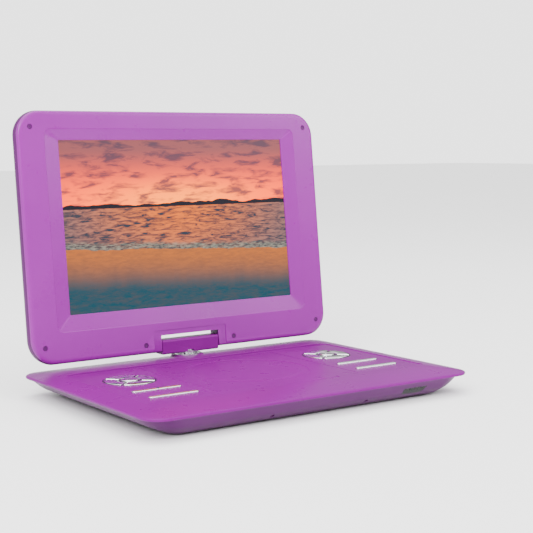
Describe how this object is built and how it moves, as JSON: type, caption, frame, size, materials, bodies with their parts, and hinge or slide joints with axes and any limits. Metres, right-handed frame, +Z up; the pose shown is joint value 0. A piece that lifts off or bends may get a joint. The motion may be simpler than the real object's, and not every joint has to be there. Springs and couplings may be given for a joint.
{
  "type": "portable dvd player",
  "caption": "Flat base with a hinged disc lid, chrome key groups and side sockets, carrying a wide screen on a hinge block that swivels and folds.",
  "frame": {"origin": "bottom centre of the whole object's box, on the surface the feet stand on", "axes": "+X to the user's right along the front rim, +Y from the front rim to the back, +Z up"},
  "size_m": [0.409, 0.3078, 0.3131],
  "materials": {
    "purple_gloss": "glossy moulded purple",
    "purple_shell": "satin dark purple",
    "chrome": "bright chrome plating",
    "steel": "plain steel",
    "backlight_unit": "pale moulded frame",
    "black_plastic": "fine matte grain",
    "circuit_board": "solder mask",
    "rubber": "matte",
    "display_glass": "glossy display face",
    "dark_window": "smoked infrared window",
    "lens_glass": "coated lens"
  },
  "bodies": {
    "base": {"base_tray": "purple_shell", "base_deck": "purple_gloss", "port_panel": "purple_shell", "rubber_feet": "rubber", "base_screws": "steel", "disc_well": "black_plastic", "mech_chassis": "steel", "spindle_motor": "steel", "guide_rods": "steel", "sled_motor": "steel", "mech_dampers": "rubber", "disc_lid_spring": "steel", "latch_spring": "steel", "main_board": "circuit_board", "battery_pack": "black_plastic", "speakers": "black_plastic", "key_board_left": "circuit_board", "key_board_right": "circuit_board", "ir_window": "dark_window", "signal_jacks": "black_plastic", "power_jack": "black_plastic", "usb_socket": "steel", "swivel_ring": "steel"},
    "spindle": {"spindle_hub": "chrome"},
    "sled": {"laser_sled": "black_plastic"},
    "lens": {"objective_lens": "lens_glass"},
    "screw": {"lead_screw": "steel"},
    "disc_cover": {"disc_lid": "purple_gloss", "disc_lid_pins": "steel"},
    "latch": {"lid_latch": "purple_gloss"},
    "switch": {"power_switch": "black_plastic"},
    "volume": {"volume_wheel": "black_plastic"},
    "swivel": {"swivel_post": "chrome", "hinge_bracket": "steel", "hinge_cover_front": "purple_gloss", "hinge_cover_rear": "purple_gloss"},
    "screen": {"tilt_shafts": "chrome", "hinge_leaves": "steel", "front_bezel": "purple_gloss", "lid_back_cover": "purple_shell", "lcd_panel": "display_glass", "lcd_chassis": "backlight_unit", "screen_board": "circuit_board", "screw_plugs": "purple_shell"},
    "nav_key_right_cap": {"nav_key_right": "chrome"},
    "nav_key_up_cap": {"nav_key_up": "chrome"},
    "nav_key_left_cap": {"nav_key_left": "chrome"},
    "nav_key_down_cap": {"nav_key_down": "chrome"},
    "nav_key_enter_cap": {"nav_key_enter": "chrome"},
    "menu_key_cap": {"menu_key": "chrome"},
    "title_key_cap": {"title_key": "chrome"},
    "mode_key_cap": {"mode_key": "chrome"},
    "next_key_cap": {"next_key": "chrome"},
    "pause_key_cap": {"pause_key": "chrome"},
    "previous_key_cap": {"previous_key": "chrome"},
    "stop_key_cap": {"stop_key": "chrome"},
    "play_key_cap": {"play_key": "chrome"},
    "setup_key_cap": {"setup_key": "chrome"},
    "display_key_cap": {"display_key": "chrome"},
    "subtitle_key_cap": {"subtitle_key": "chrome"}
  },
  "joints": [
    {"name": "screen_swivel", "type": "hinge", "parent": "base", "child": "swivel", "pos_m": [0, 0.1153, 0.0314], "axis": [0, 0, 1], "range_deg": [-180, 0]},
    {"name": "screen_tilt", "type": "hinge", "parent": "swivel", "child": "screen", "pos_m": [0, 0.1153, 0.0404], "axis": [-1, 0, 0], "range_deg": [-96.4, 83.6]},
    {"name": "disc_lid_hinge", "type": "hinge", "parent": "base", "child": "disc_cover", "pos_m": [0, 0.0708, 0.0252], "axis": [-1, 0, 0], "range_deg": [0, 55]},
    {"name": "latch_slide", "type": "slide", "parent": "base", "child": "latch", "axis": [0, -1, 0], "range_m": [0, 0.0015], "stiffness_N_per_m": 300, "springref_m": -0.0005},
    {"name": "spindle_spin", "type": "hinge", "parent": "base", "child": "spindle", "pos_m": [0, -0.0099, 0.012], "axis": [0, 0, 1], "continuous": true},
    {"name": "sled_slide", "type": "slide", "parent": "base", "child": "sled", "axis": [0, -1, 0], "range_m": [0, 0.034]},
    {"name": "lead_screw_spin", "type": "hinge", "parent": "base", "child": "screw", "pos_m": [-0.03, -0.0539, 0.0124], "axis": [0, 1, 0], "range_deg": [-5, 4085]},
    {"name": "lens_focus", "type": "slide", "parent": "sled", "child": "lens", "axis": [0, 0, 1], "range_m": [0, 0.0006], "stiffness_N_per_m": 40, "springref_m": -0.0002},
    {"name": "power_switch_slide", "type": "slide", "parent": "base", "child": "switch", "axis": [0, 1, 0], "range_m": [0, 0.003]},
    {"name": "volume_turn", "type": "hinge", "parent": "base", "child": "volume", "pos_m": [0.1886, 0.038, 0.0124], "axis": [0, 0, 1], "range_deg": [0, 270]},
    {"name": "nav_key_right_press", "type": "slide", "parent": "base", "child": "nav_key_right_cap", "axis": [0, 0, -1], "range_m": [0, 0.0007], "stiffness_N_per_m": 400, "springref_m": -0.0003},
    {"name": "nav_key_up_press", "type": "slide", "parent": "base", "child": "nav_key_up_cap", "axis": [0, 0, -1], "range_m": [0, 0.0007], "stiffness_N_per_m": 400, "springref_m": -0.0003},
    {"name": "nav_key_left_press", "type": "slide", "parent": "base", "child": "nav_key_left_cap", "axis": [0, 0, -1], "range_m": [0, 0.0007], "stiffness_N_per_m": 400, "springref_m": -0.0003},
    {"name": "nav_key_down_press", "type": "slide", "parent": "base", "child": "nav_key_down_cap", "axis": [0, 0, -1], "range_m": [0, 0.0007], "stiffness_N_per_m": 400, "springref_m": -0.0003},
    {"name": "nav_key_enter_press", "type": "slide", "parent": "base", "child": "nav_key_enter_cap", "axis": [0, 0, -1], "range_m": [0, 0.0007], "stiffness_N_per_m": 400, "springref_m": -0.0003},
    {"name": "menu_key_press", "type": "slide", "parent": "base", "child": "menu_key_cap", "axis": [0, 0, -1], "range_m": [0, 0.0007], "stiffness_N_per_m": 400, "springref_m": -0.0003},
    {"name": "title_key_press", "type": "slide", "parent": "base", "child": "title_key_cap", "axis": [0, 0, -1], "range_m": [0, 0.0007], "stiffness_N_per_m": 400, "springref_m": -0.0003},
    {"name": "mode_key_press", "type": "slide", "parent": "base", "child": "mode_key_cap", "axis": [0, 0, -1], "range_m": [0, 0.0007], "stiffness_N_per_m": 400, "springref_m": -0.0003},
    {"name": "next_key_press", "type": "slide", "parent": "base", "child": "next_key_cap", "axis": [0, 0, -1], "range_m": [0, 0.0007], "stiffness_N_per_m": 400, "springref_m": -0.0003},
    {"name": "pause_key_press", "type": "slide", "parent": "base", "child": "pause_key_cap", "axis": [0, 0, -1], "range_m": [0, 0.0007], "stiffness_N_per_m": 400, "springref_m": -0.0003},
    {"name": "previous_key_press", "type": "slide", "parent": "base", "child": "previous_key_cap", "axis": [0, 0, -1], "range_m": [0, 0.0007], "stiffness_N_per_m": 400, "springref_m": -0.0003},
    {"name": "stop_key_press", "type": "slide", "parent": "base", "child": "stop_key_cap", "axis": [0, 0, -1], "range_m": [0, 0.0007], "stiffness_N_per_m": 400, "springref_m": -0.0003},
    {"name": "play_key_press", "type": "slide", "parent": "base", "child": "play_key_cap", "axis": [0, 0, -1], "range_m": [0, 0.0007], "stiffness_N_per_m": 400, "springref_m": -0.0003},
    {"name": "setup_key_press", "type": "slide", "parent": "base", "child": "setup_key_cap", "axis": [0, 0, -1], "range_m": [0, 0.0007], "stiffness_N_per_m": 400, "springref_m": -0.0003},
    {"name": "display_key_press", "type": "slide", "parent": "base", "child": "display_key_cap", "axis": [0, 0, -1], "range_m": [0, 0.0007], "stiffness_N_per_m": 400, "springref_m": -0.0003},
    {"name": "subtitle_key_press", "type": "slide", "parent": "base", "child": "subtitle_key_cap", "axis": [0, 0, -1], "range_m": [0, 0.0007], "stiffness_N_per_m": 400, "springref_m": -0.0003}
  ],
  "couplings": [
    {"joint": "lead_screw_spin", "follows": "sled_slide", "rad_per_m": 2094.4}
  ]
}
